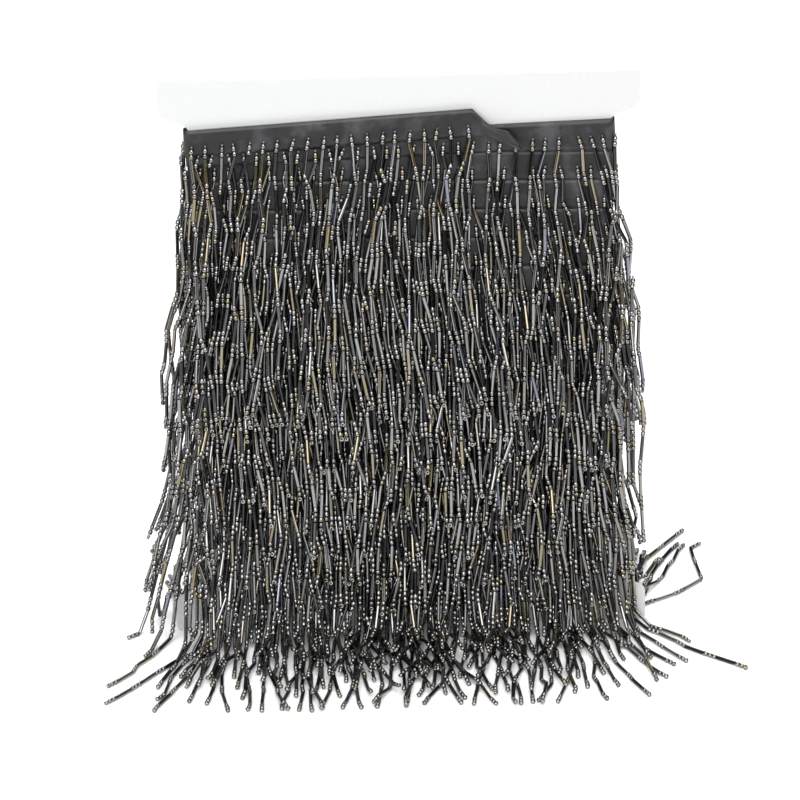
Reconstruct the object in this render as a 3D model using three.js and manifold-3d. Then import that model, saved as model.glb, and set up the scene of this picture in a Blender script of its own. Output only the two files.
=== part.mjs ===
// A beaded fringe trim wound flat on its card.
// A satin ribbon goes round the waist of a stiff card in fifteen turns, from the bottom up, so the last turn is the
// outermost and the highest. Strands of bugle and seed beads hang from the lower edge of every turn. The strands of a
// high turn hang outside the turns below it, and those of the low turns come down on the floor and lie there.
// Millimetres, +Z up. The origin is the middle of the card's bottom edge, X runs along the card, and -Y is the front.
import * as THREE from 'three';
import { mergeVertices } from 'three/addons/utils/BufferGeometryUtils.js';
import Module from 'manifold-3d';

const wasm = await Module();
wasm.setup();

// Card
const CARD_THICK = 2;
const CARD_HEIGHT = 275;
const WAIST_HALF = 95.5; // half the width that the ribbon is wound round
const EAR_REACH = 14; // how far an ear stands out past the waist
const EAR_EDGE = 16.5; // the ear's straight outer edge
const EAR_SLOPE = 6; // rise of the sloping cut between ear and waist

// Ribbon, and the strip along its lower edge that the strands are sewn to
const RIBBON_WIDTH = 13.5; // from the top edge to the fringed lower edge
const RIBBON_THICK = 1;
const STRIP_WIDTH = 2.4;
const STRIP_THICK = 1.6;
const PIECE_GAP = 0.35;
const LAP = 1.35; // how far a turn lies outside the one that it overlaps

// Height of a turn's lower edge where it passes the card's right and left edges, and the turns that it laps over
const TOP_TURNS = [
  { right: 249.2, left: 238, laps: 2 },
  { right: 239, left: 233.5, laps: 1 },
  { right: 223.6, left: 227.5, laps: 0 },
];
const TURN_COUNT = 15;
const TURN_PITCH = 14.1; // from one turn to the next below the lapped ones, edge to edge
const WINDING_START = 0.156; // in turns from the right edge: the outer end is right of the middle of the front
const WINDING_END = TURN_COUNT - 0.005; // the inner end is on the right edge
const SIDE_GAP = 0.6; // between the strips of two turns, at the right edge
const END_CLEAR = 0.008; // no strand hangs within this share of a turn of the strip's outer end

// The ribbon's loose outer end, folded to a narrow tail: distance along X, its lower and upper edge, and how far
// it stands off the winding
const TAIL = [
  { x: 56.5, low: 238.5, high: 240.5, off: 1.6 },
  { x: 50, low: 241.5, high: 251, off: 1.2 },
  { x: 43, low: 245.5, high: 253.5, off: 0.5 },
];

// Strands. Each one on a face stands for about three of the bead strands that hang side by side.
const STRAND_LENGTH = 131;
const STRAND_SPREAD = 4; // how much longer or shorter a strand may be
const FACE_STRAND = { wide: 4, deep: 2.3 };
const EDGE_STRAND = { wide: 3, deep: 1.5 };
const TIP_TAPER = 0.55; // a strand's width at its tip, as a share of its full width
const ROOT_BITE = 0.3; // how deep a strand's root sits in the strip
const FRONT_STRANDS = 10;
const BACK_STRANDS = 8;
const STAGGERS = 3; // the strands of this many turns hang side by side before a place comes round again
const STEP_OUT = 0.7; // a strand steps out over the strip below within STEP_DROP
const STEP_DROP = 9;
const LAYER_DEPTH = 1; // each turn that a strand passes holds it this much further out
const DRIFT = { reach: 3, across: 50, down: 40 }; // how far neighbours lean together, and how soon that changes
const SWAY = 0.4; // how far a strand wanders sideways by itself
const BEND = 4.5; // radius of the bend where a strand meets the floor
const LEVEL_RISE = 2.7; // two turns share a level on the floor, and the next two lie on them
const FAN_DEG = 15; // how far the strands at a face's ends fan out on the floor
const LEAN_DEG = 4; // how far the strands of one level lean together, first one way and then the other
const EDGE_ROOT_DEG = 35; // where a strand leaves the ribbon's bend, from the card's plane
const EDGE_HEADING_DEG = 31; // how far an edge strand heads out, from straight forward or back
const EDGE_REACH = 44;
const SHORTEST_REACH = 6;

// A lone strand of the lowest turn that lies out on the floor at the right
const STRAY_TURN = TURN_COUNT - 1;
const STRAY_ROUTE = [
  { x: 126, y: 24 },
  { x: 138, y: 38 },
  { x: 134, y: 72 },
];

// Where the winding changes from face to bend, as shares of a turn
const FACE_SHARE = 0.48;
const BEND_STEPS = 4;

const BEADS = new THREE.MeshStandardMaterial({ color: 0x17181b, roughness: 0.2, metalness: 0.1 });
const SATIN = new THREE.MeshStandardMaterial({ color: 0x24262a, roughness: 0.5, metalness: 0 });
const BOARD = new THREE.MeshStandardMaterial({ color: 0xf1f1ee, roughness: 0.8, metalness: 0 });

const mix = (from, to, share) => from + (to - from) * share;
const radians = THREE.MathUtils.degToRad;

// A repeatable number from -1 to 1 for a whole number, in place of chance
const wander = (seed) => {
  const wave = Math.sin(seed * 12.9898 + 4.1) * 43758.5453;
  return 2 * (wave - Math.floor(wave)) - 1;
};

function turn(index) {
  if (index < TOP_TURNS.length) return TOP_TURNS[index];
  const last = TOP_TURNS[TOP_TURNS.length - 1];
  const drop = (index - TOP_TURNS.length + 1) * TURN_PITCH;
  return { right: last.right - drop, left: last.left - drop, laps: 0 };
}

// The winding at a number of turns from the right edge: a point of the card's outline, the way outwards, the way
// along the ribbon, the height of the ribbon's lower edge, and how far out the ribbon's inner face lies.
function winding(turns) {
  const index = Math.floor(turns);
  const share = turns - index;
  const onFront = share < 0.5;
  const half = onFront ? share : share - 0.5;
  const from = turn(index);
  const height = onFront
    ? mix(from.right, from.left, half / 0.5)
    : mix(from.left, turn(index + 1).right, half / 0.5);
  const side = onFront ? 1 : -1;
  const bend = Math.max(0, (half - FACE_SHARE) / (0.5 - FACE_SHARE));
  const along = Math.min(1, half / FACE_SHARE);
  const centre = new THREE.Vector3(side * mix(WAIST_HALF, -WAIST_HALF, along), 0, 0);
  const angle = Math.PI * bend;
  const out = new THREE.Vector3(-side * Math.sin(angle), -side * Math.cos(angle), 0);
  const ahead = new THREE.Vector3(-side * Math.cos(angle), side * Math.sin(angle), 0);
  const nextLaps = onFront ? from.laps : turn(index + 1).laps;
  const lift = PIECE_GAP + LAP * mix(from.laps, nextLaps, bend);
  return { base: centre.addScaledVector(out, CARD_THICK / 2), out, ahead, height, lift };
}

// The places in turns where the winding needs a section, from one place to another
function stations(from, to) {
  const found = [from];
  for (let index = Math.floor(from); index <= Math.floor(to); index += 1) {
    for (const start of [0, 0.5]) {
      found.push(index + start);
      for (let step = 0; step < BEND_STEPS; step += 1) {
        found.push(index + start + mix(FACE_SHARE, 0.5, step / BEND_STEPS));
      }
    }
  }
  const apart = 0.002;
  return [...found.filter((place) => place === from || (place > from + apart && place < to - apart)), to];
}

// A band along the winding, made from a box with one slice for each section. A section gives a place on the
// winding and the band's lower and upper edge.
function band(sections, thick) {
  const slices = sections.length - 1;
  const box = new THREE.BoxGeometry(1, 1, 1, 1, 1, slices);
  const position = box.attributes.position;
  for (let i = 0; i < position.count; i += 1) {
    const section = sections[Math.round((position.getZ(i) + 0.5) * slices)];
    const { base, out, lift } = section.place;
    const reach = lift + (position.getX(i) + 0.5) * thick;
    const height = mix(section.low, section.high, position.getY(i) + 0.5);
    const point = base.clone().addScaledVector(out, reach);
    position.setXYZ(i, point.x, point.y, height);
  }
  return box;
}

function closed(geometry) {
  const bare = geometry.clone();
  bare.deleteAttribute('normal');
  bare.deleteAttribute('uv');
  const merged = mergeVertices(bare, 1e-4);
  const mesh = new wasm.Mesh({
    numProp: 3,
    vertProperties: Float32Array.from(merged.attributes.position.array),
    triVerts: Uint32Array.from(merged.index.array),
  });
  return new wasm.Manifold(mesh);
}

function geometryOf(solid) {
  const mesh = solid.getMesh();
  const geometry = new THREE.BufferGeometry();
  geometry.setAttribute('position', new THREE.BufferAttribute(Float32Array.from(mesh.vertProperties), 3));
  geometry.setIndex(new THREE.BufferAttribute(Uint32Array.from(mesh.triVerts), 1));
  geometry.computeVertexNormals();
  return geometry;
}

function named(name, geometry, material) {
  const mesh = new THREE.Mesh(geometry, material);
  mesh.name = name;
  return mesh;
}

// The flat card: a waist for the winding, with ears above and below that keep it on
function makeCard() {
  const ear = WAIST_HALF + EAR_REACH;
  const corner = EAR_EDGE + EAR_SLOPE;
  const half = [
    [ear, 0],
    [ear, EAR_EDGE],
    [WAIST_HALF, corner],
    [WAIST_HALF, CARD_HEIGHT - corner],
    [ear, CARD_HEIGHT - EAR_EDGE],
    [ear, CARD_HEIGHT],
  ];
  const outline = new THREE.Shape(
    [...half, ...half.map(([x, z]) => [-x, z]).reverse()].map(([x, z]) => new THREE.Vector2(x, z)),
  );
  const plate = new THREE.ExtrudeGeometry(outline, { depth: CARD_THICK, bevelEnabled: false });
  plate.translate(0, 0, -CARD_THICK / 2);
  plate.rotateX(Math.PI / 2);
  return named('card', plate, BOARD);
}

// The ribbon above its fringed edge, one solid from the folded tail to the inner end
function makeRibbon() {
  const tail = TAIL.map(({ x, low, high, off }) => {
    const place = winding((FACE_SHARE * (WAIST_HALF - x)) / (2 * WAIST_HALF));
    return { place: { ...place, lift: place.lift + off }, low, high };
  });
  const wound = stations(WINDING_START, WINDING_END).map((turns) => {
    const place = winding(turns);
    return { place, low: place.height + STRIP_WIDTH + PIECE_GAP, high: place.height + RIBBON_WIDTH };
  });
  return named('ribbon', band([...tail, ...wound], RIBBON_THICK), SATIN);
}

// A point beside the winding: so far out, so far along, and at a height
function beside(place, outwards, along, height) {
  const point = place.base.clone().addScaledVector(place.out, outwards).addScaledVector(place.ahead, along);
  point.z = height;
  return point;
}

// How far a strand is off the straight line down from its root: its neighbours lean with it, and it wanders a little
function drift(place, drop, seed) {
  if (place.edge !== 0) return 2 * SWAY * wander(seed);
  const phase = place.base.x / DRIFT.across + place.height / DRIFT.down;
  return DRIFT.reach * (Math.sin(phase - drop / DRIFT.down) - Math.sin(phase)) + SWAY * wander(seed);
}

// The way that a strand lies on the floor
function heading(place, level) {
  if (place.edge !== 0) {
    const angle = radians(EDGE_HEADING_DEG);
    return new THREE.Vector3(place.edge * Math.sin(angle), Math.sign(place.out.y) * Math.cos(angle), 0);
  }
  const angle = radians(FAN_DEG) * place.across ** 3 + radians(LEAN_DEG) * Math.sin(3 * place.across + level);
  return place.out.clone().multiplyScalar(Math.cos(angle)).addScaledVector(place.ahead, Math.sin(angle));
}

// The line that a strand follows, as its middle at each bend, with the way that its ridge faces there
function strandRoute(place, index, seed) {
  const { deep } = place.section;
  const level = Math.floor((TURN_COUNT - 1 - index) / 2) * LEVEL_RISE;
  const resting = level + deep / 2;
  const length = STRAND_LENGTH + STRAND_SPREAD * wander(seed);
  const root = place.height + STRIP_WIDTH / 2;
  const start = place.lift + STRIP_THICK - ROOT_BITE + deep / 2;
  const lowest = Math.max(root - length, resting + BEND);
  const depthAt = (height) => start + STEP_OUT + (LAYER_DEPTH * (place.height - height)) / TURN_PITCH;
  const stepped = place.height - STEP_DROP;
  const hung = [stepped, mix(stepped, lowest, 0.5), lowest].map((height, i) => {
    const aside = i === 0 ? 0 : drift(place, stepped - height, seed + 0.3 * i);
    return { point: beside(place, depthAt(height), aside, height), facing: place.out };
  });
  const route = [{ point: beside(place, start, 0, root), facing: place.out }, ...hung];
  const left = length - (root - lowest) - BEND * Math.SQRT2;
  if (left < SHORTEST_REACH) return route;
  const up = new THREE.Vector3(0, 0, 1);
  const foot = hung[hung.length - 1].point;
  const lay = (x, y) => ({ point: new THREE.Vector3(x, y, resting), facing: up });
  if (place.edge > 0 && index === STRAY_TURN) {
    return [...route, lay(foot.x + BEND, foot.y + 1), ...STRAY_ROUTE.map(({ x, y }) => lay(x, y))];
  }
  const way = heading(place, level);
  const reach = place.edge === 0 ? left : Math.min(left, EDGE_REACH);
  const bent = foot.clone().addScaledVector(way, BEND);
  const tip = bent.clone().addScaledVector(way, reach);
  return [...route, lay(bent.x, bent.y), lay(tip.x, tip.y)];
}

// A three-sided strand along its route, with its flat side inwards, and downwards on the floor
function makeStrand(route, section) {
  const pieces = route.length - 1;
  const prism = new THREE.CylinderGeometry(1, 1, 1, 3, pieces);
  const position = prism.attributes.position;
  const frames = route.map(({ point, facing }, i) => {
    const before = route[Math.max(0, i - 1)].point;
    const after = route[Math.min(pieces, i + 1)].point;
    const back = before.clone().sub(after).normalize();
    const out = facing.z > 0 ? facing : facing.clone().addScaledVector(back, -facing.dot(back)).normalize();
    const wide = i === pieces ? section.wide * TIP_TAPER : section.wide;
    return { point, out, across: back.clone().cross(out).normalize().multiplyScalar(wide / 2) };
  });
  for (let i = 0; i < position.count; i += 1) {
    const { point, out, across } = frames[Math.round((0.5 - position.getY(i)) * pieces)];
    const aside = position.getX(i) / Math.sin(Math.PI / 3);
    const ridge = ((position.getZ(i) - 0.25) / 1.5) * section.deep;
    const moved = point.clone().addScaledVector(across, aside).addScaledVector(out, ridge);
    position.setXYZ(i, moved.x, moved.y, moved.z);
  }
  return closed(prism);
}

// Where the strands of a turn leave the winding. Neighbouring turns are staggered.
function strandPlaces(index) {
  const stagger = ((index % STAGGERS) + 0.5) / STAGGERS;
  const places = [];
  for (const [count, start, offset] of [[FRONT_STRANDS, 0, stagger], [BACK_STRANDS, 0.5, 1 - stagger]]) {
    for (let i = 0; i < count; i += 1) {
      const share = (i + offset) / count;
      const turns = index + start + FACE_SHARE * share;
      places.push({ ...winding(turns), turns, across: 2 * share - 1, edge: 0, section: FACE_STRAND });
    }
  }
  const lean = (90 - EDGE_ROOT_DEG) / 180;
  const early = mix(FACE_SHARE, 0.5, lean);
  const late = mix(FACE_SHARE, 0.5, 1 - lean);
  const [leftBend, rightBend] = index % 2 === 0 ? [late, 0.5 + early] : [early, 0.5 + late];
  for (const [edge, bend] of [[-1, leftBend], [1, rightBend]]) {
    const turns = index + bend;
    places.push({ ...winding(turns), turns, across: 0, edge, section: EDGE_STRAND });
  }
  return places;
}

// One turn's fringe: the strip along the ribbon's lower edge with its strands fused to it
function makeFringe(index) {
  const inset = SIDE_GAP / (4 * WAIST_HALF);
  const from = Math.max(index + inset, WINDING_START);
  const to = Math.min(index + 1 - inset, WINDING_END);
  const sections = stations(from, to).map((turns) => {
    const place = winding(turns);
    return { place, low: place.height, high: place.height + STRIP_WIDTH };
  });
  const strip = closed(band(sections, STRIP_THICK));
  const whole = strandPlaces(index)
    .filter(({ turns }) => turns > from + END_CLEAR && turns < to)
    .map((place, i) => makeStrand(strandRoute(place, index, index * 40 + i), place.section))
    .reduce((joined, strand) => joined.add(strand), strip);
  return named(`fringe_${String(index + 1).padStart(2, '0')}`, geometryOf(whole), BEADS);
}

const trim = new THREE.Group();
trim.add(makeCard(), makeRibbon());
for (let index = 0; index < TURN_COUNT; index += 1) trim.add(makeFringe(index));

export default trim;
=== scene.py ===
"""Looks of a beaded fringe trim wound on its card: the board, the satin ribbon and every bead."""

import math

import bmesh
import bpy
import numpy as np
from bpy.props import FloatProperty, FloatVectorProperty, PointerProperty
from mathutils import Matrix, Vector


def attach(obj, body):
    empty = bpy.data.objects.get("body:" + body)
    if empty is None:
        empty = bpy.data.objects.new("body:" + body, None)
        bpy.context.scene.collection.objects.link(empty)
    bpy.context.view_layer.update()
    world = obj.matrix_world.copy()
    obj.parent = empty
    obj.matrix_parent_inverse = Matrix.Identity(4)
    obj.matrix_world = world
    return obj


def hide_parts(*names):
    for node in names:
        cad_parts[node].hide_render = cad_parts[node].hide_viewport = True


bl_info = {
    "name": "Beaded Fringe Trim",
    "version": (1, 0, 0),
    "blender": (4, 5, 0),
    "location": "3D View > Sidebar > Trim",
    "description": "Builds a beaded fringe trim wound on its card",
    "category": "Add Mesh",
}

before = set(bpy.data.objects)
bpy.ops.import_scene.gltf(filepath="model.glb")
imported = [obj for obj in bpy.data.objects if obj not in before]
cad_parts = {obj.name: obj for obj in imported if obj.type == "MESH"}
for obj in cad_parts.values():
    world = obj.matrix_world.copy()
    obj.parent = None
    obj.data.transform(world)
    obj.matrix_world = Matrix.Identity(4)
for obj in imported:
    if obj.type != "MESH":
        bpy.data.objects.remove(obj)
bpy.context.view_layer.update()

MM = 0.001

# Card, in millimetres like every size below
CARD_THICK = 2.0
CARD_HEIGHT = 275.0
WAIST_HALF = 95.5
EAR_REACH = 14.0
EAR_EDGE = 16.5
EAR_SLOPE = 6.0
CARD_CORNER = 2.5  # radius of the outline's corners
CARD_ROUNDING = 0.18  # of the edges round both faces

# Winding: where a turn's lower edge passes the card's right and left edge, and the turns that it laps over
RIBBON_WIDTH = 13.5
TOP_RIGHT = (249.2, 239.0, 223.6)
TOP_LEFT = (238.0, 233.5, 227.5)
TOP_LAPS = (2, 1, 0)
TURN_COUNT = 15
TURN_PITCH = 14.1
WINDING_START = 0.156
WINDING_END = TURN_COUNT - 0.005
RIBBON_OFF = 0.3  # between the card and the ribbon
LAP = 0.75  # how far a turn lies outside the one that it overlaps
FACE_SHARE = 0.48  # the share of a turn that one face takes, and a bend takes the rest of each half
BEND_CENTRE = WAIST_HALF - 0.7  # the ribbon goes close round the card's edge

RIBBON_STEPS = 6  # faces across the ribbon
RIBBON_LAP = 0.35  # how far a turn laps over the next one down at least
RIBBON_TILT = 0.4  # how far its lower edge stands off there
PLEATS = 4
PLEAT_DEPTH = 1.6
CLOTH_MIDDLE = 0.2  # of the cloth's thickness, from its inner face

# Loose outer end of the ribbon: place along X, lower and upper edge, and how far it stands off the winding
TAIL = (
    (55.5, 239.9, 241.4, 2.0),
    (49.5, 241.2, 248.8, 1.6),
    (43.4, 244.7, 250.4, 1.1),
    (40.0, 246.2, 252.6, 0.6),
)

# Loose thread at that end, as points in space
THREAD = (
    (46.0, -4.0, 248.5),
    (46.5, -5.0, 250.5),
    (49.0, -5.5, 252.0),
    (52.0, -6.0, 250.8),
    (54.0, -6.0, 247.0),
    (54.0, -6.5, 242.0),
    (51.5, -8.0, 235.0),
    (50.0, -9.5, 228.0),
)
THREAD_SIZE = 0.26
THREAD_STEP = 0.5

# Beads on a strand, from the top: two seeds, then groups of a bugle and three seeds. The last seed is a ring
# that lies on its side.
ROOT_SEEDS = 2
GROUP_SEEDS = 3
GROUPS = 7
KNOT = 1.2  # the stitch that holds a strand
ROOT_ABOVE = 6.2  # the strand's start above the ribbon's lower edge
ROOT_OFF = 0.6  # the ribbon's outer face from its inner one, with the stitches

# Unrolled outline of the card: front from right to left, left bend, back, right bend
BEND_ARC = 16.0
HALF_WAY = 2 * WAIST_HALF + BEND_ARC
PERIMETER = 2 * HALF_WAY

# The height maps of what lies on the card and on the floor
CELL = 0.5
FLOOR_HALF = (150.0, 118.0)
TOUCH = 1.12  # a strand's half thickness where it lies against another
REACH = 56  # cells to each side of a strand's start that it may come to

# Beads have fewer faces deeper in the pile than the first depth, and only a few past the second
SEEN_DEPTH = 1.5
HIDDEN_DEPTH = 3.2
BACK_START = 12.0  # further back than this they have no more than the middle number of faces

# How dull each kind of bead is: drawn tubes are duller than fire polished seeds
DULLNESS = {"seed": 0.08, "ring": 0.08, "bugle": 0.16, "knot": 0.6}

# How the strands hang. A lean is a slope: the way aside for each mm of strand.
JOINT_WANDER = 0.85  # sideways, at each joint between beads
SLIP = 1.7  # how far aside a joint may slip to lie lower
SLIP_COST = 0.16  # how much lower it has to lie for each cell that it slips
COMMON_LEAN = 2.2  # how far neighbours are off the plumb line together, in mm
COMMON_WAVE = {"across": 41.0, "down": 33.0}  # how quickly that changes
OWN_LEAN = 0.055
EDGE_ZONE = 50.0  # strands this near the card's edge lean out to it
EDGE_LEAN = {"left": (0.05, 0.27), "right": (0.02, 0.08)}  # high up and low down, right at the edge
LEAN_HEIGHTS = (50.0, 180.0)
EAR_HEIGHTS = (35.0, 75.0)  # strands in a bend part over these heights, to pass the lower ear
WALL_SLOPES = (0.012, 0.45)  # a strand falls back to the card and stands out from it no faster than this

# Strands at the right edge that hang well clear: their turn, how far off, and where that starts and is full
PROUD = {"turn": 5, "off": 11.0, "top": 175.0, "full": 135.0}

# Strands stand off near the floor, pushed out by the heap at the card's foot
FLARE = 13.0  # how far, at the floor
EDGE_FLARE = {"left": 8.0, "right": -7.0}  # what the card's edges add to that
FLARE_TOP = 110.0
FLARE_CURVE = 1.3
FLARE_SLOPE = 0.22  # no strand slopes out more than this
SPREAD = {"left": 0.035, "right": 0.0}  # further out in a bend, for each mm of drop below the next value
SPREAD_TOP = 235.0

# How the strands lie on the floor, with turns in radians and wander in degrees
FLOOR_BEND = 7.0  # radius of a strand where it turns to lie down
FLOOR_BEND_LEAST = 3.0
FLOOR_FAN = {"front": math.radians(18.0), "back": math.radians(0.3 * 18.0)}  # outwards, by the card's edges
FLOOR_OFF = {"own": math.radians(9), "together": math.radians(5)}  # how much strands vary
FLOOR_TURN = {"front": 0.33, "back": 0.15}  # the share of a bend's own turn that its strands keep
FLOOR_MOST = 0.6  # no strand turns aside more than this
FLOOR_TRIES = (0.0, -0.12, 0.12, -0.24, 0.24)  # a strand takes the turn with which it lies lowest
FLOOR_WANDER = {"drift": 4.0, "each": 9.0, "most": 16.0}
FLOOR_STRETCH = 18  # cells that a strand lies straight for
FLOOR_SLOPE = 0.3
STRAY = ((126.0, 24.0), (138.0, 38.0), (134.0, 72.0))  # a lone strand's route, out at the right

# The camera, in metres and radians: a little above the trim, and turned so that the trim's right side rises
ELEVATION = math.radians(24)
ROLL = math.radians(-1.43)
DISTANCE = 3.0
LENS = 292.5
SHIFT_X = -0.0075
LOOKED_AT = (0.0, 0.0, 0.1146)
TABLE_EDGE = 0.62  # in front of the trim, below the picture
TABLE_HALF = 6.0


def shade(colour, share):
    """A colour made lighter or darker by a share of itself."""
    return tuple(min(1.0, share * c) for c in colour)


def linear(hex_colour):
    """A colour in Blender's linear values from an sRGB hex value."""
    parts = [int(hex_colour[i : i + 2], 16) / 255 for i in (1, 3, 5)]
    return tuple(c / 12.92 if c <= 0.04045 else ((c + 0.055) / 1.055) ** 2.4 for c in parts)


# Materials


def add_node(tree, kind, settings=None, links=None):
    """Adds a node with its settings and socket values, and links the named inputs to other nodes' outputs.
    The setting "stops" holds a colour ramp's stops, each a place and a linear colour."""
    node = tree.nodes.new(kind)
    for name, value in (settings or {}).items():
        if name == "stops":
            elements = node.color_ramp.elements
            while len(elements) < len(value):
                elements.new(0.5)
            for element, (place, colour) in zip(elements, value):
                element.position, element.color = place, (*colour, 1)
        elif name in node.inputs:
            node.inputs[name].default_value = value
        else:
            setattr(node, name, value)
    for name, output in (links or {}).items():
        tree.links.new(output, node.inputs[name])
    return node


def new_material(name):
    material = bpy.data.materials.new(name)
    material.use_nodes = True
    material.node_tree.nodes.clear()
    return material, material.node_tree


def finish_material(tree, surface):
    add_node(tree, "ShaderNodeOutputMaterial", links={"Surface": surface.outputs["BSDF"]})


def black_glass(colour):
    """Opaque black glass with a metallic lustre, which mirrors more than plain glass. Seeds are fire
    polished, so a light shows on them as a sharp square. Bugles are drawn, so they mirror softly, and range
    from dark to bright grey, with a few faintly gold or blue."""
    material, tree = new_material("Black glass with a lustre, drawn and fire polished")
    tone = add_node(tree, "ShaderNodeAttribute", {"attribute_name": "tone"})
    dull = add_node(tree, "ShaderNodeAttribute", {"attribute_name": "dullness"})
    tints = (
        (0.0, "#6c6d6f"), (0.18, "#a2a3a3"), (0.4, "#d4d4d1"), (0.6, "#ffffff"),
        (0.8, "#fffaf0"), (0.88, "#fff1d2"), (0.94, "#f7e6bd"), (0.97, "#dfe8ff"),
    )
    lustre = add_node(
        tree,
        "ShaderNodeValToRGB",
        {"stops": [(place, linear(tint)) for place, tint in tints]},
        {"Fac": tone.outputs["Fac"]},
    )
    lustre.color_ramp.interpolation = "CONSTANT"
    surface = add_node(
        tree,
        "ShaderNodeBsdfPrincipled",
        {"Base Color": (*colour, 1), "IOR": 2.8},
        {"Roughness": dull.outputs["Fac"], "Specular Tint": lustre.outputs["Color"]},
    )
    finish_material(tree, surface)
    return material


def black_satin(colour):
    """Polyester satin, woven with long floats along the ribbon: near black, with soft patches of sheen
    painted into its colour as lighter and darker patches, and a roughness that follows the same patches.
    """
    material, tree = new_material("Black polyester satin, woven")
    uv = add_node(tree, "ShaderNodeUVMap", {"uv_map": "cloth"})
    # The map is in metres along the ribbon and across it. Warp floats are 25 mm long, and 0.15 mm apart but
    # drawn at 0.5 mm to show.
    stretched = add_node(
        tree,
        "ShaderNodeMapping",
        {"Scale": (1 / (25 * MM), 1 / (0.5 * MM), 1.0)},
        {"Vector": uv.outputs["UV"]},
    )
    floats = add_node(
        tree, "ShaderNodeTexNoise", {"Scale": 1.0, "Detail": 2.0}, {"Vector": stretched.outputs["Vector"]}
    )
    # Patches of sheen are about 14 mm across, 70 to a metre. The sheen is painted: the colour is lighter and
    # darker in these patches, and the roughness follows the same patches.
    painted_sheen_and_gloss = add_node(
        tree,
        "ShaderNodeTexNoise",
        {"Scale": 70.0, "Detail": 3.0, "Roughness": 0.6},
        {"Vector": uv.outputs["UV"]},
    )
    # Painted sheen: the satin's colour is made darker, and up to five times lighter, in patches
    body = add_node(
        tree,
        "ShaderNodeValToRGB",
        {"stops": [(0.38, shade(colour, 0.6)), (0.5, colour), (0.66, shade(colour, 5))]},
        {"Fac": painted_sheen_and_gloss.outputs["Fac"]},
    )
    rough = add_node(
        tree, "ShaderNodeMapRange", {"To Min": 0.3, "To Max": 0.65}, {"Value": painted_sheen_and_gloss.outputs["Fac"]}
    )
    bump = add_node(
        tree, "ShaderNodeBump", {"Strength": 0.25, "Distance": 0.0001}, {"Height": floats.outputs["Fac"]}
    )
    surface = add_node(
        tree,
        "ShaderNodeBsdfPrincipled",
        {"Specular IOR Level": 0.45, "Anisotropic": 0.4},
        {
            "Base Color": body.outputs["Color"],
            "Roughness": rough.outputs["Result"],
            "Normal": bump.outputs["Normal"],
        },
    )
    finish_material(tree, surface)
    return material


def white_board(colour):
    """Bleached pulp board, calendered: smooth and matte, with a fine fibre that the light just catches."""
    material, tree = new_material("White pulp board, calendered")
    where = add_node(tree, "ShaderNodeTexCoord")
    # Fibres are 0.1 mm apart, drawn at about 1.1 mm to show, 900 to a metre
    fibre = add_node(
        tree, "ShaderNodeTexNoise", {"Scale": 900.0, "Detail": 4.0}, {"Vector": where.outputs["Object"]}
    )
    body = add_node(
        tree,
        "ShaderNodeValToRGB",
        {"stops": [(0.3, shade(colour, 0.95)), (0.7, colour)]},
        {"Fac": fibre.outputs["Fac"]},
    )
    bump = add_node(
        tree, "ShaderNodeBump", {"Strength": 0.08, "Distance": 0.0001}, {"Height": fibre.outputs["Fac"]}
    )
    surface = add_node(
        tree,
        "ShaderNodeBsdfPrincipled",
        {"Roughness": 0.72, "Specular IOR Level": 0.35},
        {"Base Color": body.outputs["Color"], "Normal": bump.outputs["Normal"]},
    )
    finish_material(tree, surface)
    return material


def black_thread():
    """Bonded nylon beading thread: round, dull and black."""
    material, tree = new_material("Black nylon thread, bonded")
    surface = add_node(
        tree, "ShaderNodeBsdfPrincipled", {"Base Color": (*linear("#141416"), 1), "Roughness": 0.55}
    )
    finish_material(tree, surface)
    return material


def pale_paper():
    """Matte seamless paper: the plain surface that the part stands on."""
    material, tree = new_material("Pale seamless paper, matte")
    surface = add_node(
        tree, "ShaderNodeBsdfPrincipled", {"Base Color": (*linear("#f4f4f5"), 1), "Roughness": 0.9}
    )
    finish_material(tree, surface)
    return material


# The winding

# Where each turn's lower edge passes the card's edges, and its laps: the top ones as given, the rest evenly
TURN_DROPS = TURN_PITCH * np.arange(1, TURN_COUNT - len(TOP_RIGHT) + 2)
TURN_RIGHT = np.concatenate([TOP_RIGHT, TOP_RIGHT[-1] - TURN_DROPS])
TURN_LEFT = np.concatenate([TOP_LEFT, TOP_LEFT[-1] - TURN_DROPS])
TURN_LAPS = np.concatenate([TOP_LAPS, 0 * TURN_DROPS])


def winding(turns):
    """For places in turns from the right edge: the way along the unrolled outline, the height of the ribbon's
    lower edge, and how far out of the card's face the ribbon's inner face is."""
    turns = np.asarray(turns, float)
    index = np.floor(turns).astype(int)
    share = turns - index
    back = share >= 0.5
    half = np.where(back, share - 0.5, share)
    along = np.minimum(1, half / FACE_SHARE)
    bend = np.clip((half - FACE_SHARE) / (0.5 - FACE_SHARE), 0, 1)
    way = 2 * WAIST_HALF * along + BEND_ARC * bend + np.where(back, HALF_WAY, 0)
    start = np.where(back, TURN_LEFT[index], TURN_RIGHT[index])
    end = np.where(back, TURN_RIGHT[index + 1], TURN_LEFT[index])
    height = start + (end - start) * half / 0.5
    laps = TURN_LAPS[index] + np.where(back, TURN_LAPS[index + 1] - TURN_LAPS[index], 0) * bend
    return way, height, RIBBON_OFF + LAP * laps


def outline(way, out):
    """The point of the unrolled outline that is so far out of the card's face, and the way outwards there."""
    way = np.mod(np.asarray(way, float), PERIMETER)
    side = np.where(way < HALF_WAY, 1.0, -1.0)
    local = np.mod(way, HALF_WAY)
    x = WAIST_HALF - np.minimum(local, 2 * WAIST_HALF)
    x *= BEND_CENTRE / WAIST_HALF
    angle = np.maximum(0, local - 2 * WAIST_HALF) / BEND_ARC * math.pi
    normal = np.stack([-side * np.sin(angle), -side * np.cos(angle)], -1)
    reach = CARD_THICK / 2 + np.asarray(out, float)
    point = np.stack([side * x, 0 * x], -1) + normal * reach[..., None]
    return point, normal


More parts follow.
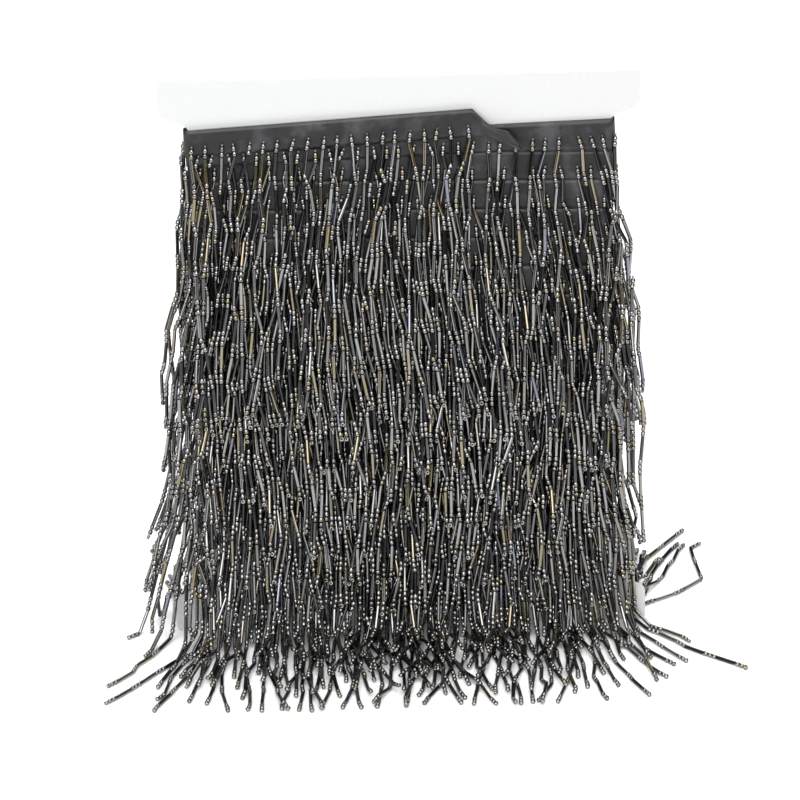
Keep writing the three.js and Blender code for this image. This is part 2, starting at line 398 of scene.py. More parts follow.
def edges_near(way):
    """How near a place is to the card's left and right edge: 1 in the bend, and 0 from EDGE_ZONE on."""
    local = way % HALF_WAY
    ahead = 1 - (2 * WAIST_HALF - local) / EDGE_ZONE if local < 2 * WAIST_HALF else 1.0
    behind = 1 - local / EDGE_ZONE if local < 2 * WAIST_HALF else 0.0
    first, last = ("right", "left") if way % PERIMETER < HALF_WAY else ("left", "right")
    return {first: max(0.0, behind), last: max(0.0, ahead)}


# Laying the strands


def length_along(line):
    """The length of a line up to each of its points."""
    return np.concatenate([[0], np.cumsum(np.linalg.norm(np.diff(line, axis=0), axis=1))])


class Pile:
    """How far out the winding and its strands reach over each place of the outline, and how high they lie on
    the floor. A strand that is laid on it comes to rest on what is there, and is then part of it."""

    def __init__(self):
        self.wall = np.zeros((round(PERIMETER / CELL), round(CARD_HEIGHT / CELL)))
        self.floor = np.zeros((round(2 * FLOOR_HALF[0] / CELL), round(2 * FLOOR_HALF[1] / CELL)))
        spots = [(i, j) for i in range(-2, 3) for j in range(-2, 3) if math.hypot(i, j) * CELL < TOUCH]
        self.spots = [(i, j, math.sqrt(TOUCH**2 - (i * i + j * j) * CELL**2)) for i, j in spots]

    def add_ribbon(self):
        way, height, lift = winding(np.arange(WINDING_START, WINDING_END, 0.0005))
        column = (way / CELL).astype(int) % self.wall.shape[0]
        for up in np.arange(0, RIBBON_WIDTH, CELL / 2):
            row = np.clip(((height + up) / CELL).astype(int), 0, self.wall.shape[1] - 1)
            np.maximum.at(self.wall, (column, row), lift + ROOT_OFF)

    def wall_seat(self, first, count):
        """How far out the middle of a strand has to be over each cell of a strip of the wall."""
        columns = np.arange(first - 2, first + count + 2) % self.wall.shape[0]
        strip = np.pad(self.wall[columns], ((0, 0), (2, 2)), mode="edge")
        rows = self.wall.shape[1]
        seat = np.zeros((count, rows))
        for i, j, room in self.spots:
            np.maximum(seat, strip[2 + i : 2 + i + count, 2 + j : 2 + j + rows] + room, out=seat)
        return seat

    def floor_seat(self, points):
        """How high the middle of a strand has to be over each point of the floor."""
        cell = self.cell_of(points)
        seat = np.zeros(len(points))
        for i, j, room in self.spots:
            np.maximum(seat, self.floor[cell[:, 0] + i, cell[:, 1] + j] + room, out=seat)
        return seat

    def cell_of(self, points):
        cell = np.round((points + FLOOR_HALF) / CELL).astype(int)
        return np.clip(cell, 3, np.array(self.floor.shape) - 4)

    def keep_wall(self, way, height, out):
        column = np.round(way / CELL).astype(int)
        row = np.clip(np.round(height / CELL).astype(int), 0, self.wall.shape[1] - 1)
        for i in range(-2, 3):
            room = math.sqrt(TOUCH**2 - (i * CELL) ** 2)
            np.maximum.at(self.wall, ((column + i) % self.wall.shape[0], row), out + room)

    def keep_floor(self, points, height):
        cell = self.cell_of(points)
        for i, j, room in self.spots:
            np.maximum.at(self.floor, (cell[:, 0] + i, cell[:, 1] + j), height + room)


def rest_on(need, in_slope, out_slope):
    """The least line over what it has to clear that falls back and rises no faster than the two slopes."""
    steps = CELL * np.arange(len(need))
    forward = np.maximum.accumulate(need + in_slope * steps) - in_slope * steps
    return np.maximum.accumulate((forward - out_slope * steps)[::-1])[::-1] + out_slope * steps


def past_the_ear(way, height, out):
    """Keeps a strand in a bend clear of the card's lower ear, which it slides past on its own side."""
    local = way % HALF_WAY
    if local <= 2 * WAIST_HALF or out > EAR_REACH + TOUCH:
        return way
    away = local - 2 * WAIST_HALF - BEND_ARC / 2
    angle = math.asin(min(1.0, (CARD_THICK / 2 + 1.3 * TOUCH) / (CARD_THICK / 2 + out)))
    low, high = EAR_HEIGHTS
    clear = angle / math.pi * BEND_ARC * min(1.0, max(0.0, (high - height) / (high - low)))
    return way + (math.copysign(clear, away) - away if abs(away) < clear else 0)


def plumb(pile, random, root, joints, lean):
    """The line that a strand would take straight down the wall: its ways and heights each CELL of its length,
    and how far out it has to be there. It keeps straight between its joints, and slips aside there to lie
    lower."""
    way0, height0, out0 = root
    first = int(way0 / CELL) - REACH
    seat = pile.wall_seat(first, 2 * REACH)
    near = edges_near(way0)
    sense = {"left": 1.0, "right": -1.0} if way0 % PERIMETER < HALF_WAY else {"left": -1.0, "right": 1.0}
    flare = FLARE + sum(near[k] ** 2 * EDGE_FLARE[k] for k in near)
    spread = sum(near[k] ** 2 * SPREAD[k] for k in near)

    def held_off(height):
        pushed = flare * np.clip(1 - height / FLARE_TOP, 0, 1) ** FLARE_CURVE + spread * (SPREAD_TOP - height)
        return TOUCH + np.minimum(pushed, FLARE_SLOPE * (height0 - height) + out0)

    ways, heights, out = [way0], [height0], out0
    wave = COMMON_WAVE["down"]
    phase = way0 / COMMON_WAVE["across"] + height0 / wave
    for here, there in zip(joints, joints[1:]):
        step = there - here
        low = np.interp(heights[-1], LEAN_HEIGHTS, (1, 0))
        leans = {k: (upper + (lower - upper) * low) * sense[k] for k, (upper, lower) in EDGE_LEAN.items()}
        local = ways[-1] % HALF_WAY
        # Only strands on a face lean out, and those in a bend don't
        outward = sum(near[k] ** 1.5 * leans[k] for k in near) if 2 < local < 2 * WAIST_HALF - 2 else 0.0
        together = COMMON_LEAN * (math.sin(phase - there / wave) - math.sin(phase - here / wave))
        aside = (lean + outward) * step + together + random.normal(0, JOINT_WANDER)
        height = heights[-1] - math.sqrt(max(0.04 * step * step, step * step - aside * aside))
        # A mm of way is longer than a mm in a bend, the more so the further out
        gained = min(1.0, BEND_ARC / math.pi / (CARD_THICK / 2 + out))
        scale = gained if local > 2 * WAIST_HALF else 1.0
        aside *= scale
        row = min(seat.shape[1] - 1, max(0, int(height / CELL)))
        column = int(round((ways[-1] + aside) / CELL)) - first
        shifts = (0, -1, 1, -2, 2)
        places = [min(2 * REACH - 1, max(0, column + k)) for k in shifts]
        depths = [seat[place, row] + SLIP_COST * abs(k) for place, k in zip(places, shifts)]
        aside += scale * SLIP / 2 * shifts[int(np.argmin(depths))] * min(1, step / 8)
        out = max(seat[places[0], row], float(held_off(height)))
        way = past_the_ear(ways[-1] + aside, height, out)
        way = min(max(way, (first + 3) * CELL), (first + 2 * REACH - 4) * CELL)
        ways.append(way)
        heights.append(height)
    along = np.arange(0, joints[-1], CELL)
    way, height = np.interp(along, joints, ways), np.interp(along, joints, heights)
    column = np.clip(np.round(way / CELL).astype(int) - first, 0, 2 * REACH - 1)
    row = np.clip(np.round(height / CELL).astype(int), 0, seat.shape[1] - 1)
    need = np.maximum(seat[column, row], held_off(height))
    need[0] = out0
    return way, height, need


def floor_heading(base, normal, random):
    """The way that a strand lies on the floor, as an angle from +X."""
    across = base[0] / WAIST_HALF
    side = "front" if normal[1] < 0 else "back"
    fan = math.copysign(FLOOR_FAN[side] * min(1, abs(across)) ** 4, across)
    turned = math.atan2(normal[0], 3.0 * abs(normal[1])) if abs(normal[0]) > 0.05 else 0.0
    turned *= FLOOR_TURN[side]
    off = fan + turned + FLOOR_OFF["own"] * random.normal() + FLOOR_OFF["together"] * math.sin(base[0] / 15)
    off = max(-FLOOR_MOST, min(FLOOR_MOST, off))
    if side == "front":
        return math.radians(-90) + off
    # Behind the card's left part the strands turn inwards instead, and less
    return math.radians(90) + (0.5 if across < 0 else -1.0) * off


def floor_line(pile, random, base, heading, length, route=()):
    """A strand's line on the floor from where it comes down, with its height there."""
    count = max(4, int(length / CELL))
    if route:
        corners = np.array([base, *route])
        where = np.arange(count) * CELL
        line = np.column_stack([np.interp(where, length_along(corners), corners[:, k]) for k in range(2)])
    else:
        stretches, most = count // FLOOR_STRETCH + 2, FLOOR_WANDER["most"]
        turns = np.cumsum(random.normal(0, FLOOR_WANDER["drift"], stretches))
        turns = np.clip(turns + random.normal(0, FLOOR_WANDER["each"], stretches), -most, most)
        headings = heading + np.radians(turns)[np.arange(count) // FLOOR_STRETCH]
        steps = np.column_stack([np.cos(headings), np.sin(headings)]) * CELL
        line = base + np.concatenate([[[0, 0]], np.cumsum(steps, axis=0)[:-1]])
    return line, rest_on(pile.floor_seat(line), FLOOR_SLOPE, FLOOR_SLOPE)


def hang(pile, random, root, joints, lean, proud=False, route=()):
    """Lets one strand down the wall and along the floor. Gives its line in space, and how its tip faces."""
    way, height, need = plumb(pile, random, root, joints, lean)
    if proud:
        share = np.clip((PROUD["top"] - height) / (PROUD["top"] - PROUD["full"]), 0, 1)
        need = np.maximum(need, root[2] + PROUD["off"] * share)
    need[height < 0] = 0
    out = rest_on(need, *WALL_SLOPES)
    spare = joints[-1] - CELL * int(np.searchsorted(-height, -TOUCH))
    bend = max(FLOOR_BEND_LEAST, min(FLOOR_BEND * random.uniform(0.6, 1.5), 0.6 * spare))
    foot = int(np.searchsorted(-height, -(bend + TOUCH)))
    if foot >= len(way) - 6:  # It ends before it reaches the floor
        point, normal = outline(way, out)
        pile.keep_wall(way, height, out)
        return np.column_stack([point, height]), np.array([*normal[-1], 0.0])
    point, normal = outline(way[foot], out[foot])
    heading = floor_heading(point, normal, random)
    tries = [heading + turn for turn in FLOOR_TRIES]
    starts = [point + bend * np.array([math.cos(a), math.sin(a)]) for a in tries]
    left = joints[-1] - foot * CELL
    lines = [floor_line(pile, random, start, a, left, route) for start, a in zip(starts, tries)]
    best = int(np.argmin([np.mean(level) + abs(turn) for (_, level), turn in zip(lines, FLOOR_TRIES)]))
    heading, (lying, level) = tries[best], lines[best]
    ahead = np.array([math.cos(heading), math.sin(heading)])
    raised = np.searchsorted(-height, -(bend + level[0]))
    foot = max(2, min(foot, int(raised)))
    points, _ = outline(way[:foot], out[:foot])
    shift = points[-1] - point
    quarter = np.linspace(0, math.pi / 2, 12)[1:]
    arc = points[-1] + ahead * (bend * (1 - np.cos(quarter)))[:, None]
    arc_height = level[0] + (height[foot - 1] - level[0]) * (1 - np.sin(quarter))
    lying = lying + shift * np.linspace(1, 0, len(lying))[:, None]
    line = np.concatenate(
        [
            np.column_stack([points, height[:foot]]),
            np.column_stack([arc, arc_height]),
            np.column_stack([lying, level])[1:],
        ]
    )
    line = line[: int(np.searchsorted(length_along(line), joints[-1])) + 2]
    pile.keep_wall(way[:foot], height[:foot], out[:foot])
    pile.keep_floor(line[foot + 6 :, :2], line[foot + 6 :, 2])
    return line, np.array([0.0, 0.0, 1.0])


def string_on(line, lengths):
    """Places beads of these lengths end to end along a line. Gives the middle and the way of each."""
    along = length_along(line)
    last = line[-1] - line[-4]
    last /= np.linalg.norm(last)
    place, here = 0.0, line[0]
    middles, ways = [], []
    for length in lengths:
        reach = length
        for _ in range(3):
            there = np.array([np.interp(place + reach, along, line[:, k]) for k in range(3)])
            there += last * max(0.0, place + reach - along[-1])
            reach += length - np.linalg.norm(there - here)
        chord = (there - here) / np.linalg.norm(there - here)
        middles.append(here + chord * length / 2)
        ways.append(chord)
        place, here = place + reach, here + chord * length
    return np.array(middles), np.array(ways)


# Bead shapes


def turned_shape(profile, segments, closed=False):
    """A shape spun from a profile of (radius, height) pairs, as a bmesh with its ends filled. A closed
    profile makes a ring."""
    bm = bmesh.new()
    verts = [bm.verts.new((radius, 0, height)) for radius, height in profile]
    edges = [bm.edges.new(pair) for pair in zip(verts, verts[1:] + (verts[:1] if closed else []))]
    bmesh.ops.spin(
        bm, geom=verts + edges, axis=(0, 0, 1), cent=(0, 0, 0), angle=math.tau, steps=segments, use_merge=True
    )
    bmesh.ops.remove_doubles(bm, verts=bm.verts, dist=1e-5)
    rim = [e for e in bm.edges if e.is_boundary]
    if rim:
        bmesh.ops.holes_fill(bm, edges=rim, sides=segments)
    bmesh.ops.recalc_face_normals(bm, faces=bm.faces)
    bm.normal_update()
    return bm


def shape_data(bm, flat_ends):
    """The numbers that repeating a shape needs. The bmesh is used up."""
    co = np.array([v.co[:] for v in bm.verts])
    for i, v in enumerate(bm.verts):
        v.index = i
    faces = [[v.index for v in f.verts] for f in bm.faces]
    smooth = [not (flat_ends and abs(f.normal.z) > 0.9) for f in bm.faces]
    bm.free()
    loops = np.concatenate([np.array(f) for f in faces])
    counts = np.array([len(f) for f in faces])
    # The rims of flat ends are sharp: each end's points have a number of their own
    rims = np.sign(co[:, 2]).astype(int) if flat_ends else np.zeros(len(co), int)
    return {"co": co, "loops": loops, "counts": counts, "smooth": np.array(smooth), "rims": rims}


def bead_shapes(seed, seed_length, bugle, bugle_length):
    """Each kind of bead, with the most faces for those in front and the fewest for those deep in the pile."""
    # Beads are a little shorter than their room on the thread
    r, h = seed / 2, seed_length / 2 * 0.97
    b, l = bugle / 2, bugle_length / 2 * 0.985
    knot = [(0.0, 0.5 * KNOT), (0.35, 0.2 * KNOT), (0.55, -0.5 * KNOT)]
    ring = [(0.4 * r, -0.5 * h), (0.4 * r, 0.5 * h), (r, 0.55 * h), (r, -0.55 * h)]
    fine = [(0.6 * r, -h), (0.96 * r, -0.66 * h), (r, 0), (0.96 * r, 0.66 * h), (0.6 * r, h)]
    plain = [(0.6 * r, -h), (r, -0.4 * h), (r, 0.4 * h), (0.6 * r, h)]
    return {
        ("seed", 0): shape_data(turned_shape(fine, 7), False),
        ("seed", 1): shape_data(turned_shape(plain, 5), False),
        ("seed", 2): shape_data(turned_shape([(r, -h), (r, h)], 4), True),
        ("bugle", 0): shape_data(turned_shape([(b, -l), (b, l)], 8), True),
        ("bugle", 1): shape_data(turned_shape([(b, -l), (b, l)], 6), True),
        ("bugle", 2): shape_data(turned_shape([(b, -l), (b, l)], 4), True),
        ("knot", 0): shape_data(turned_shape(knot, 5), False),
        ("ring", 0): shape_data(turned_shape(ring, 7, closed=True), False),
    }


def joined_mesh(name, groups):
    """One mesh of many copies. Each group is a shape, the copies' axes and middles, each one's tone and how
    dull they all are."""
    points, loops, counts, smooth, rims, tones, dulls = [], [], [], [], [], [], []
    offset = 0
    for shape, axes, middles, tone, dull in groups:
        size, copies = len(shape["co"]), len(middles)
        placed = np.einsum("nij,vj->nvi", axes, shape["co"]) + middles[:, None, :]
        points.append(placed.reshape(-1, 3))
        starts = offset + size * np.arange(copies)
        loops.append((shape["loops"][None, :] + starts[:, None]).ravel())
        counts.append(np.tile(shape["counts"], copies))
        smooth.append(np.tile(shape["smooth"], copies))
        rims.append(np.tile(shape["rims"], copies))
        tones.append(np.repeat(tone, size))
        dulls.append(np.full(size * copies, dull))
        offset += size * copies
    points, loops, counts = np.concatenate(points) * MM, np.concatenate(loops), np.concatenate(counts)
    mesh = bpy.data.meshes.new(name)
    mesh.vertices.add(len(points))
    mesh.vertices.foreach_set("co", points.ravel().astype(np.float32))
    mesh.loops.add(len(loops))
    mesh.loops.foreach_set("vertex_index", loops.astype(np.int32))
    mesh.polygons.add(len(counts))
    mesh.polygons.foreach_set("loop_start", np.concatenate([[0], np.cumsum(counts)[:-1]]).astype(np.int32))
    mesh.polygons.foreach_set("use_smooth", np.concatenate(smooth))
    mesh.update(calc_edges=True)
    ends = np.zeros(2 * len(mesh.edges), np.int32)
    mesh.edges.foreach_get("vertices", ends)
    rim = np.concatenate(rims)[ends.reshape(-1, 2)]
    mesh.edges.foreach_set("use_edge_sharp", (rim[:, 0] == rim[:, 1]) & (rim[:, 0] != 0))
    for name, values in (("tone", tones), ("dullness", dulls)):
        attribute = mesh.attributes.new(name, "FLOAT", "POINT")
        attribute.data.foreach_set("value", np.concatenate(values).astype(np.float32))
    return mesh


def axes_along(ways, spins, sizes):
    """Turns each copy's own Z to a way, spun about it, and sizes it across."""
    up = np.where(np.abs(ways[:, 2:3]) < 0.9, [[0.0, 0.0, 1.0]], [[0.0, 1.0, 0.0]])
    side = np.cross(up, ways)
    side /= np.linalg.norm(side, axis=1)[:, None]
    other = np.cross(ways, side)
    c, s = np.cos(spins)[:, None], np.sin(spins)[:, None]
    first, second = side * c + other * s, other * c - side * s
    return np.stack([first * sizes[:, None], second * sizes[:, None], ways], -1)


# Pieces


def place_piece(mesh, material, node_names):
    """Adds a finished mesh to the scene in place of the CAD nodes that it dresses."""
    piece = bpy.data.objects.new(mesh.name, mesh)
    bpy.context.scene.collection.objects.link(piece)
    mesh.materials.append(material)
    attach(piece, "root")
    if node_names:
        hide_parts(*node_names)
    return piece


def lay_all_strands(sizes):
    """Lays every strand of the trim, innermost turn first. Gives the pile, and each turn's beads as middles,
    ways, facings and kinds."""
    random = np.random.default_rng(14)
    pile = Pile()
    pile.add_ribbon()
    seed, bugle = sizes.seed_length / MM, sizes.bugle_length / MM
    lengths = [KNOT] + [seed] * ROOT_SEEDS + ([bugle] + [seed] * GROUP_SEEDS) * GROUPS
    kinds = ["knot"] + ["seed"] * ROOT_SEEDS + (["bugle"] + ["seed"] * GROUP_SEEDS) * GROUPS
    kinds[-1] = "ring"
    groups = [KNOT + ROOT_SEEDS * seed] + [bugle, GROUP_SEEDS * seed] * GROUPS
    joints = np.concatenate([[0], np.cumsum(groups)])
    share_step = sizes.strand_spacing / MM / PERIMETER
    jobs, late = [], []
    for index in reversed(range(TURN_COUNT)):
        # Strands are a little unevenly spaced
        start = max(index, WINDING_START) + 0.3 * share_step
        places = np.arange(start, min(index + 1, WINDING_END), share_step)
        places = np.clip(places + random.normal(0, 0.1 * share_step, len(places)), start, WINDING_END - 0.001)
        ways, heights, lifts = winding(places)
        at_right = (ways % PERIMETER > HALF_WAY + 2 * WAIST_HALF + 0.35 * BEND_ARC) & (ways > HALF_WAY)
        behind_right = int(np.argmin(np.abs(ways - (PERIMETER - 0.75 * BEND_ARC))))
        for i in random.permutation(len(places)):
            root = (float(ways[i]), float(heights[i]) + ROOT_ABOVE, float(lifts[i]) + ROOT_OFF + TOUCH)
            proud = bool(index == PROUD["turn"] and at_right[i])
            route = STRAY if index == TURN_COUNT - 1 and i == behind_right else ()
            (late if proud else jobs).append((index, root, proud, route))
    hung = [[] for _ in range(TURN_COUNT)]
    for index, root, proud, route in jobs + late:
        size = 1 + 0.008 * random.normal()
        lean = float(np.clip(random.normal(0, OWN_LEAN), -0.1, 0.1))
        line, facing = hang(pile, random, root, joints * size, lean, proud, route)
        middles, directions = string_on(line, np.array(lengths) * size)
        hung[index].append((middles, directions, np.tile(facing, (len(lengths), 1))))
    laid = []
    for index, strands in enumerate(hung):
        beads = [np.concatenate(part) for part in zip(*strands)]
        laid.append((index, *beads, np.tile(np.array(kinds), len(strands))))
    return pile, laid


class TrimSizes(bpy.types.PropertyGroup):
    """Sizes and colours of the trim"""

    ribbon_thick: FloatProperty(
        name="Ribbon thickness", description="Thickness of the satin ribbon", default=0.0004, unit="LENGTH"
    )
    seed_size: FloatProperty(
        name="Seed bead", description="Diameter of a seed bead", default=0.0022, unit="LENGTH"
    )
    seed_length: FloatProperty(
        name="Seed length", description="Length of a seed bead", default=0.0025, unit="LENGTH"
    )
    bugle_size: FloatProperty(
        name="Bugle bead", description="Diameter of a bugle bead", default=0.0018, unit="LENGTH"
    )
    bugle_length: FloatProperty(
        name="Bugle length", description="Length of a bugle bead", default=0.011, unit="LENGTH"
    )
    strand_spacing: FloatProperty(
        name="Strand spacing", description="Distance between strands", default=0.0069, unit="LENGTH"
    )
    board_colour: FloatVectorProperty(
        name="Board", description="Colour of the winding card", default=linear("#b0b2b2"), subtype="COLOR"
    )
    satin_colour: FloatVectorProperty(
        name="Satin", description="Colour of the ribbon", default=linear("#131315"), subtype="COLOR"
    )
    glass_colour: FloatVectorProperty(
        name="Glass", description="Colour of the beads", default=linear("#060607"), subtype="COLOR"
    )


class TRIM_OT_card(bpy.types.Operator):
    """Make the notched board that the trim is wound on"""

    bl_idname = "trim.card"
    bl_label = "Winding card"

    def execute(self, context):
        ear, corner = WAIST_HALF + EAR_REACH, EAR_EDGE + EAR_SLOPE
        half = [
            (ear, 0),
            (ear, EAR_EDGE),
            (WAIST_HALF, corner),
            (WAIST_HALF, CARD_HEIGHT - corner),
            (ear, CARD_HEIGHT - EAR_EDGE),
            (ear, CARD_HEIGHT),
        ]
        bm = bmesh.new()
        around = half + [(-x, z) for x, z in reversed(half)]
        face = bm.faces.new([bm.verts.new((x * MM, CARD_THICK / 2 * MM, z * MM)) for x, z in around])
        made = bmesh.ops.extrude_face_region(bm, geom=[face])
        moved = [v for v in made["geom"] if isinstance(v, bmesh.types.BMVert)]
        bmesh.ops.translate(bm, verts=moved, vec=(0, -CARD_THICK * MM, 0))
        upright = [e for e in bm.edges if abs(e.verts[0].co.y - e.verts[1].co.y) > MM]
        rounded = {"affect": "EDGES", "profile": 0.5, "material": -1}
        bmesh.ops.bevel(bm, geom=upright, offset=CARD_CORNER * MM, segments=4, **rounded)
        rims = [e for e in bm.edges if len(e.link_faces) == 2 and e.calc_face_angle() > 1.2]
        bmesh.ops.bevel(bm, geom=rims, offset=CARD_ROUNDING * MM, segments=2, **rounded)
        bmesh.ops.recalc_face_normals(bm, faces=bm.faces)
        mesh = bpy.data.meshes.new("winding_card")
        bm.to_mesh(mesh)
        bm.free()
        place_piece(mesh, white_board(context.scene.trim_sizes.board_colour), ["card"])
        return {"FINISHED"}


def ribbon_sections():
    """Sections across the ribbon from the tip of its folded tail to its inner end: where each is on the
    winding, its lower and upper edge, how far off it stands, how far its lower edge is tilted out, how much
    cloth is gathered there, and the length up to it."""
    half = np.concatenate([np.linspace(0, FACE_SHARE, 41)[:-1], np.linspace(FACE_SHARE, 0.5, 9)[:-1]])
    wound = (np.arange(TURN_COUNT)[:, None] + np.concatenate([half, half + 0.5])).ravel()
    wound = wound[(wound > WINDING_START + 0.002) & (wound < WINDING_END - 0.0005)]
    wound = np.concatenate([[WINDING_START], wound, [WINDING_END]])
    start_x = WAIST_HALF * (1 - 2 * WINDING_START / FACE_SHARE)
    tail_x = np.linspace(TAIL[0][0], start_x, 24)[:-1]
    turns = np.concatenate([FACE_SHARE * (WAIST_HALF - tail_x) / (2 * WAIST_HALF), wound])
    way, height, lift = winding(turns)
    # Each turn's lower edge laps over the turn below it, as the top ones do by themselves
    _, below, _ = winding(np.minimum(turns + 1, TURN_COUNT - 0.001))
    low = np.where(turns < TURN_COUNT - 1, np.minimum(height, below + RIBBON_WIDTH - RIBBON_LAP), height)
    high, off = height + RIBBON_WIDTH, np.zeros(len(turns))
    lapped = np.clip((height - low) / RIBBON_LAP, 0, 1)
    first = len(tail_x)
    for column, target in enumerate((low, high, off), start=1):
        keys = [(row[0], row[column]) for row in reversed(TAIL)]
        xs, values = zip((start_x, target[first]), *keys)
        target[:first] = np.interp(tail_x, xs, values)
    gathered = np.clip(1 - (high - low) / RIBBON_WIDTH, 0, 1)
    point, _ = outline(way, lift)
    travelled = np.concatenate([[0], np.cumsum(np.hypot(*np.diff(point, axis=0).T))])
    return {
        "way": way,
        "low": low,
        "high": high,
        "out": lift + off,
        "tilt": RIBBON_TILT * lapped,
        "gathered": gathered,
        "travelled": travelled,
    }


def ribbon_point(sections, section, share):
    """A point of the ribbon, at a share of its width from its lower edge."""
    travelled = sections["travelled"][section]
    # A ribbon that is wound by hand lies in soft waves, and its folded end in pleats
    wave = 0.07 * math.sin(travelled / 13) + 0.05 * math.sin(travelled / 5.1 + 2 + 2 * share)
    pleat = PLEAT_DEPTH * sections["gathered"][section] * abs((share * PLEATS) % 2 - 1)
    tilt = sections["tilt"][section] * (1 - share)
    out = sections["out"][section] + CLOTH_MIDDLE + wave + tilt + pleat
    base, _ = outline(sections["way"][section], out)
    low, high = sections["low"][section], sections["high"][section]
    return Vector((*base, low + (high - low) * share))


def add_loose_thread():
    """The thread at the ribbon's folded end, as short lengths that run into each other."""
    line = np.array(THREAD)
    lengths = np.full(int(length_along(line)[-1] / THREAD_STEP), THREAD_STEP)
    middles, ways = string_on(line, lengths)
    none = np.zeros(len(lengths))
    half = THREAD_SIZE / 2
    shape = shape_data(turned_shape([(half, -0.6 * THREAD_STEP), (half, 0.6 * THREAD_STEP)], 6), True)
    mesh = joined_mesh("loose_thread", [(shape, axes_along(ways, none, none + 1), middles, none, 0.6)])
    place_piece(mesh, black_thread(), [])


class TRIM_OT_ribbon(bpy.types.Operator):
    """Wind the satin ribbon round the card, with its folded outer end"""

    bl_idname = "trim.ribbon"
    bl_label = "Satin ribbon"

    def execute(self, context):
        sections = ribbon_sections()
        travelled = sections["travelled"]
        bm = bmesh.new()
        bmesh.ops.create_grid(bm, x_segments=len(travelled) - 1, y_segments=RIBBON_STEPS, size=0.5)
        cloth = bm.loops.layers.uv.new("cloth")
        for vert in bm.verts:
            section = round((vert.co.x + 0.5) * (len(travelled) - 1))
            share = vert.co.y + 0.5
            for loop in vert.link_loops:
                loop[cloth].uv = (travelled[section] * MM, share * RIBBON_WIDTH * MM)
            vert.co = ribbon_point(sections, section, share) * MM
        bmesh.ops.recalc_face_normals(bm, faces=bm.faces)
        for face in bm.faces:
            face.smooth = True
        mesh = bpy.data.meshes.new("satin_ribbon")
        bm.to_mesh(mesh)
        bm.free()
        piece = place_piece(mesh, black_satin(context.scene.trim_sizes.satin_colour), ["ribbon"])
        thick = piece.modifiers.new("Cloth thickness", "SOLIDIFY")
        thick.thickness = context.scene.trim_sizes.ribbon_thick
        thick.offset = 0
        add_loose_thread()
        return {"FINISHED"}


class TRIM_OT_fringe(bpy.types.Operator):
    """Hang the strands of seed and bugle beads from every turn of the ribbon"""

    bl_idname = "trim.fringe"
    bl_label = "Beaded fringe"

    def execute(self, context):
        sizes = context.scene.trim_sizes
        shapes = bead_shapes(
            sizes.seed_size / MM, sizes.seed_length / MM, sizes.bugle_size / MM, sizes.bugle_length / MM
        )
        pile, laid = lay_all_strands(sizes)
        random = np.random.default_rng(5)
        glass = black_glass(sizes.glass_colour)
        for index, middles, ways, facings, kind in laid:
            depth = depth_in_pile(pile, middles)
            level = np.where(depth < SEEN_DEPTH, 0, np.where(depth < HIDDEN_DEPTH, 1, 2))
            level = np.where(middles[:, 1] > BACK_START, np.maximum(level, 1), level)
            level[(kind == "ring") | (kind == "knot")] = 0
            # The last seed lies on its side, its hole facing out of the fringe
            loose = facings + 0.45 * random.normal(size=ways.shape)
            side = loose - ways * np.sum(loose * ways, axis=1)[:, None]
            side /= np.linalg.norm(side, axis=1)[:, None]
            turned = np.where((kind == "ring")[:, None], side, ways)
            spins = random.uniform(0, math.tau, len(ways))
            scale = 1 + random.normal(0, 0.03, len(ways))
            # Seeds are evener in tone than bugles, and none is dark
            tone = random.random(len(ways))
            tone = np.where(kind == "bugle", tone, 0.5 + 0.42 * tone)
            axes = axes_along(turned, spins, scale)
            groups = []
            for key, shape in shapes.items():
                chosen = (kind == key[0]) & (level == key[1])
                if chosen.any():
                    groups.append((shape, axes[chosen], middles[chosen], tone[chosen], DULLNESS[key[0]]))
            mesh = joined_mesh(f"bead_strands_{index + 1:02d}", groups)
            place_piece(mesh, glass, [f"fringe_{index + 1:02d}"])
        return {"FINISHED"}


def depth_in_pile(pile, middles):
    """How far each bead lies under the outermost beads over it."""
    x, y, z = middles.T
    front = y < 0
    flat = WAIST_HALF - np.where(front, 1, -1) * np.clip(x, -WAIST_HALF, WAIST_HALF)
    way = flat + np.where(front, 0, HALF_WAY)
    row = np.clip(np.round(z / CELL).astype(int), 0, pile.wall.shape[1] - 1)
    over = pile.wall[np.round(way / CELL).astype(int) % pile.wall.shape[0], row]
    out = np.abs(y) - CARD_THICK / 2
    cell = pile.cell_of(middles[:, :2])
    lying = (z < 14) & (out > over)
    depth = np.where(lying, pile.floor[cell[:, 0], cell[:, 1]] - z, over - out) - TOUCH
    return np.where((np.abs(x) > BEND_CENTRE) & ~lying, 0.0, depth)


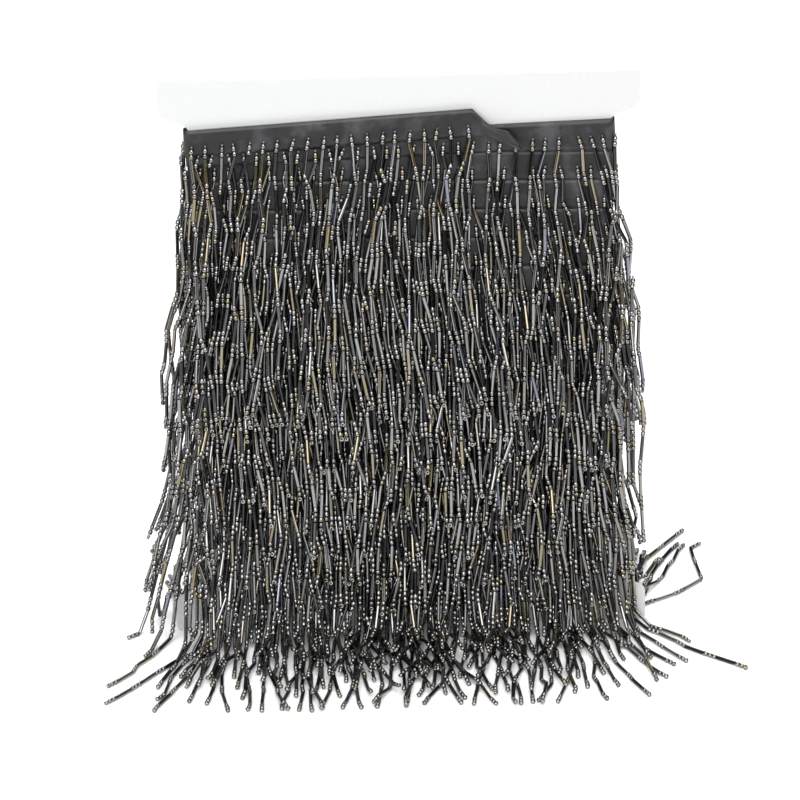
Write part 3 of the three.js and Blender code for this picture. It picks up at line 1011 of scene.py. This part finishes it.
class TRIM_OT_stage(bpy.types.Operator):
    """Set up the plain pale floor, the soft lights and the camera"""

    bl_idname = "trim.stage"
    bl_label = "Stage and camera"

    def execute(self, context):
        scene = context.scene
        bm = bmesh.new()
        bmesh.ops.create_grid(bm, x_segments=1, y_segments=1, size=TABLE_HALF)
        bmesh.ops.translate(bm, verts=bm.verts, vec=(0, TABLE_HALF - TABLE_EDGE, 0))
        mesh = bpy.data.meshes.new("floor")
        bm.to_mesh(mesh)
        bm.free()
        floor = bpy.data.objects.new("floor", mesh)
        scene.collection.objects.link(floor)
        mesh.materials.append(pale_paper())

        world = bpy.data.worlds.new("studio")
        scene.world = world
        world.use_nodes = True
        background = world.node_tree.nodes["Background"]
        background.inputs["Color"].default_value = (*linear("#eef2f6"), 1)
        background.inputs["Strength"].default_value = 0.06

        lights = (
            # name, place, aim, width, height, spread in degrees, power in watts, colour
            ("window", (-0.15, -1.4, 0.98), (0, 0, 0.12), 2.7, 1.6, 180, 68.0, "#ffffff"),
            ("back", (0.2, 1.3, 2.0), (0, 0.8, 0), 2.2, 1.6, 180, 64.0, "#ffffff"),
            ("top", (0.0, -0.25, 1.7), (0, -0.2, 0), 1.0, 0.5, 90, 3.0, "#ffffff"),
            ("lamp", (1.1, -0.9, 0.5), (0, 0, 0.12), 0.25, 0.5, 180, 1.5, "#ffc46a"),
        )
        for name, place, target, width, height, spread, power, colour in lights:
            data = bpy.data.lights.new(name, "AREA")
            data.shape, data.size, data.size_y = "RECTANGLE", width, height
            data.energy, data.color, data.spread = power, linear(colour), math.radians(spread)
            lamp = bpy.data.objects.new(name, data)
            lamp.location = place
            lamp.visible_camera = False
            aim = Vector(target) - Vector(place)
            lamp.rotation_euler = aim.to_track_quat("-Z", "Y").to_euler()
            scene.collection.objects.link(lamp)

        data = bpy.data.cameras.new("camera")
        data.sensor_width, data.lens, data.shift_x = 36, LENS, SHIFT_X
        camera = bpy.data.objects.new("camera", data)
        away = Vector((0, -math.cos(ELEVATION), math.sin(ELEVATION)))
        camera.location = Vector(LOOKED_AT) + away * DISTANCE
        upright = (-away).to_track_quat("-Z", "Y").to_matrix()
        camera.rotation_euler = (upright @ Matrix.Rotation(ROLL, 3, "Z")).to_euler()
        scene.collection.objects.link(camera)
        scene.camera = camera
        scene.view_settings.view_transform = "Standard"
        return {"FINISHED"}


class TRIM_PT_panel(bpy.types.Panel):
    """Lists the steps that build the trim"""

    bl_label = "Beaded fringe trim"
    bl_idname = "TRIM_PT_panel"
    bl_space_type = "VIEW_3D"
    bl_region_type = "UI"
    bl_category = "Trim"

    def draw(self, context):
        for name in TrimSizes.__annotations__:
            self.layout.prop(context.scene.trim_sizes, name)
        for step in STEPS:
            self.layout.operator(step)


STEPS = ("trim.card", "trim.ribbon", "trim.fringe", "trim.stage")
CLASSES = (TrimSizes, TRIM_OT_card, TRIM_OT_ribbon, TRIM_OT_fringe, TRIM_OT_stage, TRIM_PT_panel)


def register():
    for cls in CLASSES:
        bpy.utils.register_class(cls)
    bpy.types.Scene.trim_sizes = PointerProperty(type=TrimSizes)


def unregister():
    del bpy.types.Scene.trim_sizes
    for cls in reversed(CLASSES):
        bpy.utils.unregister_class(cls)


def main():
    register()
    for step in STEPS:
        group, name = step.split(".")
        getattr(getattr(bpy.ops, group), name)()


if __name__ == "__main__":
    main()
